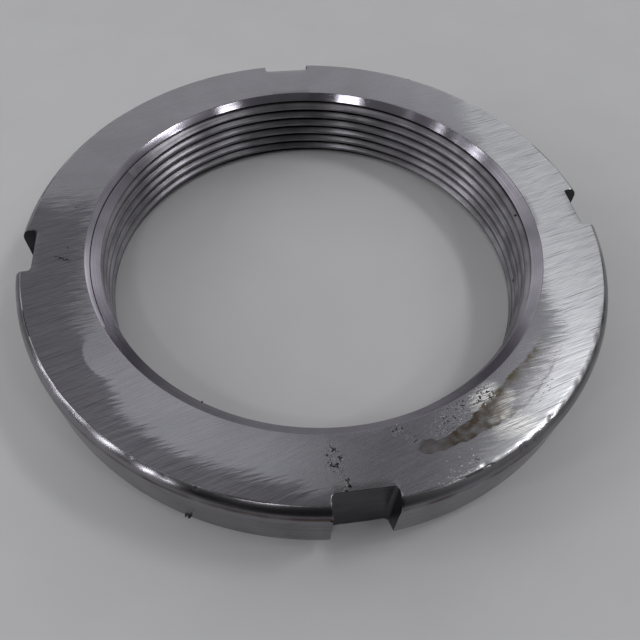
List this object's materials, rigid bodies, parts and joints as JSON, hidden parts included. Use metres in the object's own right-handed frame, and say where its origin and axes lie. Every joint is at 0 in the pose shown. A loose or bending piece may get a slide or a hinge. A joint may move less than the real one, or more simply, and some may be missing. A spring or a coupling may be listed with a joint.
{
  "type": "lock nut",
  "caption": "Flat round steel lock nut with a threaded bore, spanner slots cut through its rim, a rounded front corner and a broad back bevel.",
  "frame": {"origin": "centre of the bearing face, on the bore axis, where the nut rests", "axes": "+Z along the bore axis from the bearing face to the front face, +X through the middle of one spanner slot, +Y through the middle of the next"},
  "size_m": [0.1052, 0.1052, 0.0148],
  "materials": {
    "steel": "bare steel, ground front face, turned and milled sides, scratched and lightly stained"
  },
  "bodies": {
    "root": {"lock_nut": "steel"}
  },
  "joints": []
}
